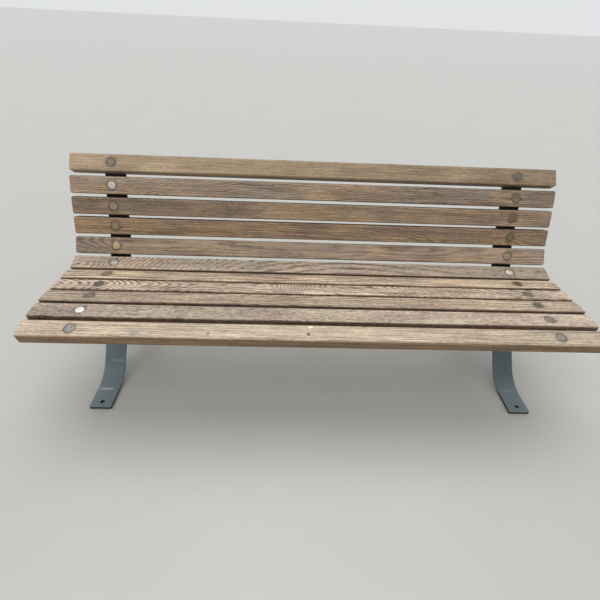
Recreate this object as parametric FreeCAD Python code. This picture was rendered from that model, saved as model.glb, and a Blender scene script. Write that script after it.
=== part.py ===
import FreeCAD, Part
import math
import os

# Slatted bench with a contoured seat and back, in millimetres and degrees.
# +X runs along the slats, -Y is the front and +Z is up. The origin is at the bottom centre of the bench.
# Left and right are as seen from the front.

# Slats: planed hardwood, all eleven alike
slat_length = 1828.8
slat_width = 63.5
slat_thickness = 38.0
slat_edge_radius = 5.5
slat_gap = 9.5

# How far each slat leans back, from the front of the seat to its rear, then up the back
seat_tilts = (12.0, 3.0, -3.0, -3.0, -5.0, 15.0)
back_tilts = (58.0, 70.0, 70.0, 66.0, 51.0)
seat_height = 380.0

# Flat steel bar, the same stock for the seat and back bars and for the legs
bar_width = 76.0
bar_thickness = 9.5
bar_corner_cut = 3.0
bar_end_setback = 14.0
bar_bend_share = 0.9
support_inset = 154.4

# Leg arch: one bar with a flat foot at each end and a rounded crown under the seat and back bar
front_leg_angle = 50.0
rear_leg_angle = 78.0
foot_flat = 76.0
foot_bend_radius = 140.0
crown_radius = 50.0
crown_seat_share = 0.22
weld_root_gap = 0.3
weld_reach = 15.0

# Anchor holes in the feet
anchor_hole_radius = 7.0
anchor_hole_inset = 24.0

# Slat bolts: low domed heads with a square neck that bites into the slat
bolt_radius = 5.0
bolt_clearance = 0.5
head_radius = 16.5
head_rim = 1.2
head_dome = 3.8
head_ring_shares = (1, 0.7, 0.35)
neck_length = 6.0
thread_overhang = 4.0

# Washers and hex nuts under the bars
washer_radius = 10.5
washer_thickness = 2.0
nut_across_flats = 16.0
nut_height = 8.4
thread_clearance = 0.2

# Flats that stand for a full turn of a bolt's head, and of a small pin, washer or bolt hole
head_sides = 16
round_sides = 10

# How far every cut runs past the face that it goes through
overrun = 2.0

x_axis = FreeCAD.Vector(1, 0, 0)
z_axis = FreeCAD.Vector(0, 0, 1)
tilts = seat_tilts + back_tilts
rear_seat_slat = len(seat_tilts) - 1
slat_numbers = range(len(tilts))
support_reach = slat_length / 2 - support_inset
side_places = {"left": -support_reach, "right": support_reach}


def side_point(y, z):
    """A point of the side view, in the plane x = 0."""
    return FreeCAD.Vector(0, y, z)


def along(angle):
    """Unit vector of the side view that climbs to the rear at this angle."""
    return side_point(math.cos(math.radians(angle)), math.sin(math.radians(angle)))


def above(angle):
    """Unit vector of the side view square to a surface of this angle, out of its upper side."""
    return side_point(-math.sin(math.radians(angle)), math.cos(math.radians(angle)))


def crossing(point_a, angle_a, point_b, angle_b):
    """Where two lines of the side view cross."""
    run = (point_b - point_a).dot(above(angle_b)) / along(angle_a).dot(above(angle_b))
    return point_a + along(angle_a) * run


def next_face(face, tilt, next_tilt, step):
    """Centre of the next slat's face, with slat_gap left where the two slats come closest."""
    closing = (next_tilt - tilt) * step > 0
    depth = 0 if closing else slat_thickness
    reach = (slat_width + slat_gap) / 2 * step
    corner = face - above(tilt) * depth + along(tilt) * reach
    return corner + along(next_tilt) * reach + above(next_tilt) * depth


def slat_face_centres():
    """Centres of the slats' upper faces, walked out both ways from the rear slat of the seat."""
    faces = {rear_seat_slat: side_point(0, seat_height)}
    for i in slat_numbers[rear_seat_slat:-1]:
        faces[i + 1] = next_face(faces[i], tilts[i], tilts[i + 1], 1)
    for i in slat_numbers[rear_seat_slat:0:-1]:
        faces[i - 1] = next_face(faces[i], tilts[i], tilts[i - 1], -1)
    return [faces[i] for i in slat_numbers]


faces = slat_face_centres()
rests = [face - above(tilt) * slat_thickness for face, tilt in zip(faces, tilts)]


def bar_bend(i):
    """Corner and radius of the seat and back bar's upper surface between slats i and i + 1."""
    corner = crossing(rests[i], tilts[i], rests[i + 1], tilts[i + 1])
    seat_of_slat = slat_width / 2 - slat_edge_radius
    reach = bar_bend_share * ((corner - rests[i]).Length - seat_of_slat)
    half_turn = math.radians(abs(tilts[i + 1] - tilts[i])) / 2
    return corner, reach / math.tan(half_turn)


def bent_surface(points, angles, radii):
    """Upper surface of a bent bar as straights and bends, each a list of (place, upward normal) pairs."""
    stretches = []
    last = points[0]
    for corner, before, after, radius in zip(points[1:-1], angles, angles[1:], radii):
        reach = radius * math.tan(math.radians(abs(after - before)) / 2)
        side = 1 if after > before else -1
        middle = (before + after) / 2
        start = corner - along(before) * reach
        end = corner + along(after) * reach
        centre = start + above(before) * radius * side
        crest = centre - above(middle) * radius * side
        stretches.append([(last, above(before)), (start, above(before))])
        stretches.append([(start, above(before)), (crest, above(middle)), (end, above(after))])
        last = end
    stretches.append([(last, above(angles[-1])), (points[-1], above(angles[-1]))])
    return stretches


def surface_edges(stretches, depth):
    """Edges of a bent surface that lies this deep below the upper one."""
    edges = []
    for stretch in stretches:
        places = [place - normal * depth for place, normal in stretch]
        is_bend = len(places) > 2
        curve = Part.Arc(*places) if is_bend else Part.LineSegment(*places)
        edges.append(curve.toShape())
    return edges


def bent_bar(stretches):
    """Flat bar bent along this upper surface, centred on x = 0, with clipped corners."""
    upper = surface_edges(stretches, 0)
    lower = surface_edges(stretches, bar_thickness)
    ends = []
    for place, normal in (stretches[0][0], stretches[-1][-1]):
        ends.append(Part.LineSegment(place, place - normal * bar_thickness).toShape())
    outline = Part.Wire(upper + [ends[1]] + lower[::-1] + [ends[0]])
    outline.translate(x_axis * (-bar_width / 2))
    bar = Part.Face(outline).extrude(x_axis * bar_width)
    end_middles = [end.CenterOfMass + x_axis * x for end in ends for x in (-bar_width / 2, bar_width / 2)]
    near = bar_thickness / 4
    corners = [edge for edge in bar.Edges if min(edge.CenterOfMass.distanceToPoint(m) for m in end_middles) < near]
    return bar.makeChamfer(bar_corner_cut, corners)


def ring(radius, sides, height):
    """Corners of a level many-sided outline, back to the first, with its sides at this distance from the Z axis."""
    corner = radius / math.cos(math.pi / sides)
    turns = [2 * math.pi * (k % sides) / sides for k in range(sides + 1)]
    return [FreeCAD.Vector(corner * math.cos(turn), corner * math.sin(turn), height) for turn in turns]


def flat_face(points):
    """Face within straight edges from point to point."""
    return Part.Face(Part.makePolygon(points))


def many_sided(radius, sides, bottom, top):
    """Upright prism whose sides lie at this distance from the Z axis."""
    return flat_face(ring(radius, sides, bottom)).extrude(z_axis * (top - bottom))


def seat_back_surface():
    """Upper surface of the bar that carries all slats: a straight under each, a bend where the tilt changes."""
    reach = slat_width / 2 - bar_end_setback
    points = [rests[0] - along(tilts[0]) * reach]
    angles = [tilts[0]]
    radii = []
    for i in slat_numbers[:-1]:
        if tilts[i + 1] != tilts[i]:
            corner, radius = bar_bend(i)
            points.append(corner)
            angles.append(tilts[i + 1])
            radii.append(radius)
    points.append(rests[-1] + along(tilts[-1]) * reach)
    return bent_surface(points, angles, radii)


def make_seat_back_bar():
    """The contoured bar, bent from one flat bar and drilled for one bolt per slat."""
    bar = bent_bar(seat_back_surface())
    for rest, tilt in zip(rests, tilts):
        hole = many_sided(bolt_radius + bolt_clearance, round_sides, -bar_thickness - overrun, overrun)
        hole.Placement = FreeCAD.Placement(rest, FreeCAD.Rotation(x_axis, tilt))
        bar = bar.cut(hole)
    return bar


def seat_back_bend():
    """Centre of the bend between seat and back, and the radius of its lower side."""
    half_turn = (tilts[rear_seat_slat + 1] - tilts[rear_seat_slat]) / 2
    corner, radius = bar_bend(rear_seat_slat)
    middle = tilts[rear_seat_slat] + half_turn
    return corner + above(middle) * (radius / math.cos(math.radians(half_turn))), radius + bar_thickness


def crown_contact():
    """Where the crown meets the lower side of the bend between seat and back, and the slope there."""
    centre, radius = seat_back_bend()
    slope = tilts[rear_seat_slat] + crown_seat_share * (tilts[rear_seat_slat + 1] - tilts[rear_seat_slat])
    return centre - above(slope) * radius, slope


def crown_middle():
    """Centre of the rounded crown of the leg arch."""
    contact, slope = crown_contact()
    return contact - above(slope) * (weld_root_gap + crown_radius)


def leg_points():
    """Corners of the leg arch's upper surface, from the front foot's tip to the rear foot's."""
    front = crown_middle() + above(front_leg_angle) * crown_radius
    rear = crown_middle() + above(-rear_leg_angle) * crown_radius
    foot_top = side_point(0, bar_thickness)
    crown = crossing(front, front_leg_angle, rear, -rear_leg_angle)
    front_bend = crossing(front, front_leg_angle, foot_top, 0)
    rear_bend = crossing(rear, -rear_leg_angle, foot_top, 0)
    front_reach = foot_flat + foot_bend_radius * math.tan(math.radians(front_leg_angle) / 2)
    rear_reach = foot_flat + foot_bend_radius * math.tan(math.radians(rear_leg_angle) / 2)
    return [front_bend - along(0) * front_reach, front_bend, crown, rear_bend, rear_bend + along(0) * rear_reach]


def make_leg_arch():
    """Both legs of one support: a single bar with two feet, each drilled for an anchor."""
    points = leg_points()
    angles = [0, front_leg_angle, -rear_leg_angle, 0]
    arch = bent_bar(bent_surface(points, angles, [foot_bend_radius, crown_radius, foot_bend_radius]))
    for tip, inward in ((points[0], along(0)), (points[-1], along(180))):
        top = tip + inward * anchor_hole_inset + z_axis * overrun
        arch = arch.cut(Part.makeCylinder(anchor_hole_radius, bar_thickness + 2 * overrun, top, z_axis * -1))
    return arch


def make_crown_weld(seat_back_bar, leg_arch):
    """Weld metal that fills the groove between the crown and the bend on both sides of their line of contact."""
    contact, slope = crown_contact()
    bend_centre, bend_radius = seat_back_bend()
    length = bar_width - 2 * bar_corner_cut
    start = x_axis * (-length / 2)
    weld = Part.makeCylinder(weld_reach, length, contact + start, x_axis)
    for centre, radius in ((bend_centre, bend_radius), (crown_middle(), crown_radius)):
        weld = weld.cut(Part.makeCylinder(radius, length, centre + start, x_axis))
    return weld.cut(seat_back_bar).cut(leg_arch)


def make_neck():
    """Square neck under a bolt's head, also the shape of its pocket in the slat."""
    side = 2 * bolt_radius
    return Part.makeBox(side, side, neck_length, FreeCAD.Vector(-side / 2, -side / 2, -neck_length))


def make_slat():
    """One slat, face up at z = 0, with rounded long edges and two bolt holes with square pockets."""
    corner = FreeCAD.Vector(-slat_length / 2, -slat_width / 2, -slat_thickness)
    slat = Part.makeBox(slat_length, slat_width, slat_thickness, corner)
    long_edges = [edge for edge in slat.Edges if abs(edge.tangentAt(edge.FirstParameter).dot(x_axis)) > 0.5]
    slat = slat.makeFillet(slat_edge_radius, long_edges)
    for x in side_places.values():
        hole = many_sided(bolt_radius + bolt_clearance, round_sides, -slat_thickness - overrun, overrun - neck_length)
        for cutter in (hole, make_neck()):
            cutter.translate(x_axis * x)
            slat = slat.cut(cutter)
    return slat


def nut_seat():
    """Height of the washer's upper side, where it meets the bar, below the slat's face."""
    return -slat_thickness - bar_thickness


def make_head():
    """Low domed bolt head that stands on the slat's face."""
    dome_radius = (head_radius ** 2 + head_dome ** 2) / (2 * head_dome)
    rings = [ring(head_radius, head_sides, 0)]
    for share in head_ring_shares:
        radius = head_radius * share
        height = head_rim + head_dome - dome_radius + math.sqrt(dome_radius ** 2 - radius ** 2)
        rings.append(ring(radius, head_sides, height))
    walls = [flat_face(rings[0]), flat_face(rings[-1])]
    for low, high in zip(rings, rings[1:]):
        for k in range(head_sides):
            walls.append(flat_face([low[k], low[k + 1], high[k + 1], high[k], low[k]]))
    return Part.makeSolid(Part.makeShell(walls))


def make_bolt():
    """Bolt with a domed head and a square neck, standing where it is fitted in a slat."""
    end = nut_seat() - washer_thickness - nut_height - thread_overhang
    shank = many_sided(bolt_radius, round_sides, end, -neck_length)
    return make_head().fuse(make_neck()).fuse(shank).removeSplitter()


def make_washer():
    """Flat washer against the underside of the bar."""
    top = nut_seat()
    bore = many_sided(bolt_radius + bolt_clearance, round_sides, top - washer_thickness - overrun, top + overrun)
    return many_sided(washer_radius, round_sides, top - washer_thickness, top).cut(bore)


def make_nut():
    """Hex nut under its washer."""
    top = nut_seat() - washer_thickness
    bore = many_sided(bolt_radius + thread_clearance, round_sides, top - nut_height - overrun, top + overrun)
    return many_sided(nut_across_flats / 2, 6, top - nut_height, top).cut(bore)


def slat_reach(tilt):
    """How far a slat's section reaches to the front and rear of its middle."""
    flat_width = slat_width / 2 - slat_edge_radius
    flat_thickness = slat_thickness / 2 - slat_edge_radius
    return flat_width * abs(along(tilt).y) + flat_thickness * abs(above(tilt).y) + slat_edge_radius


def middle_of_bench():
    """Depth of the point half way between the frontmost and the rearmost piece."""
    middles = [face - above(tilt) * (slat_thickness / 2) for face, tilt in zip(faces, tilts)]
    legs = leg_points()
    front = min([middle.y - slat_reach(tilt) for middle, tilt in zip(middles, tilts)] + [legs[0].y])
    rear = max([middle.y + slat_reach(tilt) for middle, tilt in zip(middles, tilts)] + [legs[-1].y])
    return (front + rear) / 2


to_origin = side_point(-middle_of_bench(), 0)


def placed_on_slat(shape, i, x):
    """Copy of a shape drawn on a level slat at x = 0, put at x on slat i."""
    copy = shape.copy()
    copy.Placement = FreeCAD.Placement(faces[i] + to_origin + x_axis * x, FreeCAD.Rotation(x_axis, tilts[i]))
    return copy


def placed_on_side(shape, x):
    """Copy of a bar or weld drawn at x = 0, put at x."""
    copy = shape.copy()
    copy.translate(to_origin + x_axis * x)
    return copy


def save(name, shape):
    """Write one sub-part."""
    shape.exportStep("parts/" + name + ".step")


os.makedirs("parts", exist_ok=True)

slat_rows = {"seat": slat_numbers[:rear_seat_slat + 1], "back": slat_numbers[rear_seat_slat + 1:]}
fasteners = {"bolts": make_bolt(), "washers": make_washer(), "nuts": make_nut()}
slat = make_slat()
seat_back_bar = make_seat_back_bar()
leg_arch = make_leg_arch()
crown_weld = make_crown_weld(seat_back_bar, leg_arch)

for row, numbers in slat_rows.items():
    for count, i in enumerate(numbers, 1):
        save(row + "_slat_" + str(count), placed_on_slat(slat, i, 0))

for side, x in side_places.items():
    save("seat_back_bar_" + side, placed_on_side(seat_back_bar, x))
    save("leg_arch_" + side, placed_on_side(leg_arch, x))
    save("crown_weld_" + side, placed_on_side(crown_weld, x))
    for row, numbers in slat_rows.items():
        for kind, piece in fasteners.items():
            copies = [placed_on_slat(piece, i, x) for i in numbers]
            save(row + "_" + kind + "_" + side, Part.makeCompound(copies))

legs = [point + to_origin for point in leg_points()]
print("anchor holes at y", legs[0].y + anchor_hole_inset, "and", legs[-1].y - anchor_hole_inset)
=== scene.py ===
import math
import random

import bmesh
import bpy
from mathutils import Matrix, Vector


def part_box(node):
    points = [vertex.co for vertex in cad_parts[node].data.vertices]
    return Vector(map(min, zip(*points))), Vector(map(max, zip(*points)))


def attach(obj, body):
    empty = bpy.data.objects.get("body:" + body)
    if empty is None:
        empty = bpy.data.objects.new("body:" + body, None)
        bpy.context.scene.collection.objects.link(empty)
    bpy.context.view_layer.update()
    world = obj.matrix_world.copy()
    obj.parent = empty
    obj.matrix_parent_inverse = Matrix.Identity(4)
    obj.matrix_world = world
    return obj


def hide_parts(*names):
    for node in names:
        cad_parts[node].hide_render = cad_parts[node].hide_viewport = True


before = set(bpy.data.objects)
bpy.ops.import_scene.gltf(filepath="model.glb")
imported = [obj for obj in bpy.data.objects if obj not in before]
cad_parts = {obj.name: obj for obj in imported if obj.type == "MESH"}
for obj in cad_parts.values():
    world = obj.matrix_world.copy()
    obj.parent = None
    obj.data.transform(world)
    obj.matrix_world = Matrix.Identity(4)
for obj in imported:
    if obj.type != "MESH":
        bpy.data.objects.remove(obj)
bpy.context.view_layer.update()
scene = bpy.context.scene

# Slats
# Eleven planed boards of open-grained oak, six in the seat and five up the back, all sawn alike. Their long
# edges are rounded over and their ends eased, and each is counterbored a little for two bolt heads. An old
# clear finish has worn thin, so the pores hold dirt and every board has its own tone and figure.

MM = 0.001
slat_edge_radius = 5.5 * MM
slat_end_radius = 9 * MM
slat_rings = 120
slat_ring_crowding = 2.0
bolt_seat_radius = 17.0 * MM
bolt_seat_depth = 1.6 * MM
smooth_below = math.radians(32)
supports = {side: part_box("leg_arch_" + side) for side in ("left", "right")}
side_places = {side: (low.x + high.x) / 2 for side, (low, high) in supports.items()}


def add(tree, kind, inputs=None, **settings):
    """Add a node, set its properties, and fill its inputs with values or links to sockets or nodes."""
    node = tree.nodes.new(kind)
    for name, value in settings.items():
        setattr(node, name, value)
    for name, value in (inputs or {}).items():
        if isinstance(value, bpy.types.Node):
            value = next(socket for socket in value.outputs if socket.enabled)
        if isinstance(value, bpy.types.NodeSocket):
            tree.links.new(value, node.inputs[name])
        else:
            node.inputs[name].default_value = value
    return node


def linear(code):
    """Linear colour of an sRGB hex value."""
    parts = [int(code[i:i + 2], 16) / 255 for i in (1, 3, 5)]
    return [part / 12.92 if part <= 0.04045 else ((part + 0.055) / 1.055) ** 2.4 for part in parts] + [1.0]


def shape_tree(name, sizes):
    """An empty shape tree with an input for the starting mesh, one for each size, and its group nodes."""
    tree = bpy.data.node_groups.new(name, "GeometryNodeTree")
    tree.interface.new_socket("Start", in_out="INPUT", socket_type="NodeSocketGeometry")
    for label, kind in sizes.items():
        tree.interface.new_socket(label, in_out="INPUT", socket_type="NodeSocket" + kind)
    tree.interface.new_socket("Shape", in_out="OUTPUT", socket_type="NodeSocketGeometry")
    return tree, add(tree, "NodeGroupInput").outputs


def close_tree(tree, shape, material):
    """End a shape tree: real geometry, smooth but for its sharp edges, in its material."""
    real = add(tree, "GeometryNodeRealizeInstances", {0: shape})
    smooth = add(tree, "GeometryNodeSetShadeSmooth", {"Geometry": real.outputs[0]}, domain="FACE")
    turn = add(tree, "GeometryNodeInputMeshEdgeAngle")
    sharp = add(tree, "FunctionNodeCompare", {0: turn.outputs["Unsigned Angle"], 1: smooth_below})
    crisp = add(tree, "GeometryNodeSetShadeSmooth", {
        "Geometry": smooth.outputs[0], "Selection": sharp.outputs[0], "Shade Smooth": False}, domain="EDGE")
    finished = add(tree, "GeometryNodeSetMaterial", {"Geometry": crisp.outputs[0], "Material": material})
    add(tree, "NodeGroupOutput", {0: finished.outputs[0]})


def new_object(name, data):
    """An object in the scene that shows this data."""
    made = bpy.data.objects.new(name, data)
    scene.collection.objects.link(made)
    return made


def shaped(name, tree, inputs, start=None):
    """Run a shape tree and give back its result as an object with a plain mesh."""
    piece = new_object(name, start or bpy.data.meshes.new(name))
    run = piece.modifiers.new("shape", "NODES")
    run.node_group = tree
    sockets = {item.name: item.identifier for item in tree.interface.items_tree if item.in_out == "INPUT"}
    for label, value in inputs.items():
        run[sockets[label]] = value
    piece.modifiers.new("even shading", "WEIGHTED_NORMAL").keep_sharp = True
    graph = bpy.context.evaluated_depsgraph_get()
    plain = bpy.data.meshes.new_from_object(piece.evaluated_get(graph), preserve_all_data_layers=True,
                                            depsgraph=graph)
    piece.modifiers.clear()
    piece.data = plain
    plain.name = name
    return piece


def rounded_end_group():
    """How far a side draws in towards a rounded end, from the distance to the end and the radius."""
    tree = bpy.data.node_groups.new("rounded end", "GeometryNodeTree")
    for label in ("Distance", "Radius"):
        tree.interface.new_socket(label, in_out="INPUT", socket_type="NodeSocketFloat")
    tree.interface.new_socket("Inset", in_out="OUTPUT", socket_type="NodeSocketFloat")
    given = add(tree, "NodeGroupInput").outputs
    near = add(tree, "ShaderNodeMath", {0: given["Distance"], 1: given["Radius"]}, operation="MINIMUM")
    short = add(tree, "ShaderNodeMath", {0: given["Radius"], 1: near.outputs[0]}, operation="SUBTRACT")
    short_square = add(tree, "ShaderNodeMath", {0: short.outputs[0], 1: short.outputs[0]},
                       operation="MULTIPLY")
    square = add(tree, "ShaderNodeMath", {0: given["Radius"], 1: given["Radius"]}, operation="MULTIPLY")
    rest = add(tree, "ShaderNodeMath", {0: square.outputs[0], 1: short_square.outputs[0]},
               operation="SUBTRACT")
    reach = add(tree, "ShaderNodeMath", {0: rest.outputs[0]}, operation="SQRT")
    inset = add(tree, "ShaderNodeMath", {0: given["Radius"], 1: reach.outputs[0]}, operation="SUBTRACT")
    add(tree, "NodeGroupOutput", {0: inset.outputs[0]})
    return tree


rounded_end = rounded_end_group()


def slat_shape_tree():
    """A board swept along X: rounded long edges, eased ends and a shallow seat for each bolt head."""
    tree, given = shape_tree("slat shape", {
        "Length": "Float", "Width": "Float", "Thickness": "Float", "Edge Radius": "Float",
        "End Radius": "Float",
        "Bow": "Float", "Bolt Reach": "Float", "Seat Radius": "Float", "Seat Depth": "Float",
        "Rings": "Int",
        "Place": "Vector", "Turn": "Vector", "Material": "Material"})
    half = add(tree, "ShaderNodeMath", {0: given["Length"], 1: 0.5}, operation="MULTIPLY").outputs[0]
    unit = add(tree, "GeometryNodeCurvePrimitiveLine", {"Start": (-1, 0, 0), "End": (1, 0, 0)})
    even = add(tree, "GeometryNodeResampleCurve", {"Curve": unit.outputs[0], "Count": given["Rings"]})
    place = add(tree, "ShaderNodeSeparateXYZ", {0: add(tree, "GeometryNodeInputPosition").outputs[0]})
    size = add(tree, "ShaderNodeMath", {0: place.outputs["X"]}, operation="ABSOLUTE")
    side = add(tree, "ShaderNodeMath", {0: place.outputs["X"]}, operation="SIGN")
    inner = add(tree, "ShaderNodeMath", {0: 1.0, 1: size.outputs[0]}, operation="SUBTRACT")
    crowd = add(tree, "ShaderNodeMath", {0: inner.outputs[0], 1: slat_ring_crowding}, operation="POWER")
    outer = add(tree, "ShaderNodeMath", {0: 1.0, 1: crowd.outputs[0]}, operation="SUBTRACT")
    signed = add(tree, "ShaderNodeMath", {0: outer.outputs[0], 1: side.outputs[0]}, operation="MULTIPLY")
    along = add(tree, "ShaderNodeMath", {0: signed.outputs[0], 1: half}, operation="MULTIPLY")
    spine_place = add(tree, "ShaderNodeCombineXYZ", {"X": along.outputs[0]})
    spine = add(tree, "GeometryNodeSetPosition",
                {"Geometry": even.outputs[0], "Position": spine_place.outputs[0]})
    outline = add(tree, "GeometryNodeCurvePrimitiveQuadrilateral",
                  {"Width": given["Width"], "Height": given["Thickness"]})
    rounded = add(tree, "GeometryNodeFilletCurve", {
        "Curve": outline.outputs[0], "Count": 7, "Radius": given["Edge Radius"]}, mode="POLY")
    board = add(tree, "GeometryNodeCurveToMesh",
                {"Curve": spine.outputs[0], "Profile Curve": rounded.outputs[0]})
    board.inputs["Fill Caps"].default_value = True

    where = add(tree, "GeometryNodeInputPosition").outputs[0]
    parts = add(tree, "ShaderNodeSeparateXYZ", {0: where})
    core = []
    for axis, full in (("Y", given["Width"]), ("Z", given["Thickness"])):
        reach = add(tree, "ShaderNodeMath", {0: full, 1: 0.5}, operation="MULTIPLY")
        flat = add(tree, "ShaderNodeMath", {0: reach.outputs[0], 1: given["Edge Radius"]},
                   operation="SUBTRACT")
        low = add(tree, "ShaderNodeMath", {0: flat.outputs[0], 1: -1.0}, operation="MULTIPLY")
        core.append(add(tree, "ShaderNodeClamp",
                        {0: parts.outputs[axis], 1: low.outputs[0], 2: flat.outputs[0]}))
    middle = add(tree, "ShaderNodeCombineXYZ",
                 {"X": parts.outputs["X"], "Y": core[0].outputs[0], "Z": core[1].outputs[0]})
    away = add(tree, "ShaderNodeVectorMath", {0: where, 1: middle.outputs[0]}, operation="SUBTRACT")
    outward = add(tree, "ShaderNodeVectorMath", {0: away.outputs[0]}, operation="NORMALIZE")
    span = add(tree, "ShaderNodeMath", {0: parts.outputs["X"]}, operation="ABSOLUTE")
    to_end = add(tree, "ShaderNodeMath", {0: half, 1: span.outputs[0]}, operation="SUBTRACT")
    ease = add(tree, "GeometryNodeGroup", node_tree=rounded_end)
    tree.links.new(to_end.outputs[0], ease.inputs["Distance"])
    tree.links.new(given["End Radius"], ease.inputs["Radius"])
    most = add(tree, "ShaderNodeMath", {0: given["Edge Radius"], 1: 0.8}, operation="MULTIPLY")
    closing = add(tree, "ShaderNodeMath", {0: ease, 1: most}, operation="MINIMUM")
    beyond = add(tree, "ShaderNodeMath", {0: ease, 1: closing}, operation="SUBTRACT")
    draw_in = add(tree, "ShaderNodeMath", {0: closing, 1: -1.0}, operation="MULTIPLY")
    shift = add(tree, "ShaderNodeVectorMath", {0: outward}, operation="SCALE")
    tree.links.new(draw_in.outputs[0], shift.inputs["Scale"])
    corner = add(tree, "ShaderNodeVectorMath", {0: middle}, operation="SIGN")
    inward = add(tree, "ShaderNodeVectorMath", {0: corner, 1: (0, -1, -1)}, operation="MULTIPLY")
    push = add(tree, "ShaderNodeVectorMath", {0: inward}, operation="SCALE")
    tree.links.new(beyond.outputs[0], push.inputs["Scale"])
    moved = add(tree, "ShaderNodeVectorMath", {0: shift, 1: push}, operation="ADD")
    eased = add(tree, "GeometryNodeSetPosition", {"Geometry": board, "Offset": moved})

    bent = add(tree, "ShaderNodeMath", {0: parts.outputs["X"], 1: half}, operation="DIVIDE")
    bent_square = add(tree, "ShaderNodeMath", {0: bent.outputs[0], 1: bent.outputs[0]},
                      operation="MULTIPLY")
    held = add(tree, "ShaderNodeMath", {0: given["Bolt Reach"], 1: half}, operation="DIVIDE")
    held_square = add(tree, "ShaderNodeMath", {0: held.outputs[0], 1: held.outputs[0]},
                      operation="MULTIPLY")
    rise = add(tree, "ShaderNodeMath", {0: held_square.outputs[0], 1: bent_square.outputs[0]},
               operation="SUBTRACT")
    lift = add(tree, "ShaderNodeMath", {0: rise.outputs[0], 1: given["Bow"]}, operation="MULTIPLY")
    lift_vector = add(tree, "ShaderNodeCombineXYZ", {"Z": lift.outputs[0]})
    bowed = add(tree, "GeometryNodeSetPosition",
                {"Geometry": eased.outputs[0], "Offset": lift_vector.outputs[0]})

    top = add(tree, "ShaderNodeMath", {0: given["Thickness"], 1: 0.5}, operation="MULTIPLY")
    deep = add(tree, "ShaderNodeMath", {0: given["Seat Depth"], 1: 2.0}, operation="MULTIPLY")
    drill = add(tree, "GeometryNodeMeshCylinder",
                {"Vertices": 48, "Radius": given["Seat Radius"], "Depth": deep.outputs[0]})
    seats = add(tree, "GeometryNodeJoinGeometry")
    for side_sign in (-1.0, 1.0):
        reach = add(tree, "ShaderNodeMath", {0: given["Bolt Reach"], 1: side_sign}, operation="MULTIPLY")
        spot = add(tree, "ShaderNodeCombineXYZ", {"X": reach.outputs[0], "Z": top.outputs[0]})
        seat = add(tree, "GeometryNodeTransform",
                   {"Geometry": drill.outputs[0], "Translation": spot.outputs[0]})
        tree.links.new(seat.outputs[0], seats.inputs[0])
    cut = add(tree, "GeometryNodeMeshBoolean", {"Mesh 1": bowed.outputs[0], "Mesh 2": seats.outputs[0]})
    cut.operation = "DIFFERENCE"
    put = add(tree, "GeometryNodeTransform", {"Geometry": cut.outputs[0], "Translation": given["Place"]})
    tree.links.new(given["Turn"], put.inputs["Rotation"])
    close_tree(tree, put.outputs[0], given["Material"])
    return tree


def slat_place(node):
    """Middle, tilt, length, width and thickness of a slat, read from its solid in the frame."""
    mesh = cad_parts[node].data
    areas = {}
    for face in mesh.polygons:
        facing = tuple(round(part, 3) for part in face.normal)
        areas[facing] = areas.get(facing, 0) + face.area
    normal = Vector(max(areas, key=areas.get))
    if normal.z < 0:
        normal.negate()
    low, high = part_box(node)
    middle = (low + high) / 2
    tilt = math.atan2(-normal.y, normal.z)
    across = Vector((0, math.cos(tilt), math.sin(tilt)))
    width = 2 * max((vertex.co - middle).dot(across) for vertex in mesh.vertices)
    thickness = 2 * max((vertex.co - middle).dot(normal) for vertex in mesh.vertices)
    return {"middle": middle, "tilt": tilt, "normal": normal, "length": high.x - low.x,
            "width": width, "thickness": thickness}


# Weathered oak, planed and once varnished. Growth rings come from a log that the board is cut out of, so
# its faces show cathedrals, slanting stripes or straight grain, and its ends show rings. Pores are dark
# dashes in each ring's early wood. Faces that hands and cloths reach stay pale and dully glossy, and the
# rounded top edges are lightened a little, as painted highlight and partly wear. Sides in the gaps, ends
# and undersides are darkened by grime and painted shade together. Iron from the bolts has stained the wood
# round them, and a narrow dark ring next to each head's seat is painted shade of the gap round the head.
# Fine pores are drawn wider than real ones, so that they show.
ring_width = 4.2 * MM
dash_length = 24 * MM
dash_width = 3.4 * MM
line_length = 190 * MM
line_width = 4.2 * MM
ripple_length = 55 * MM
ripple_width = 16 * MM
pore_length = 14 * MM
pore_width = 2.8 * MM
streak_length = 320 * MM
streak_width = 9 * MM
patch_length = 150 * MM
patch_width = 45 * MM
pore_depth = 0.3 * MM
ring_shade_reach = 19.5 * MM
stain_reach = 27 * MM
worn_and_highlight_rim = 3.2 * MM
mark_depth = 20 * MM
end_grime_and_shade_rim = 6 * MM


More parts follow.
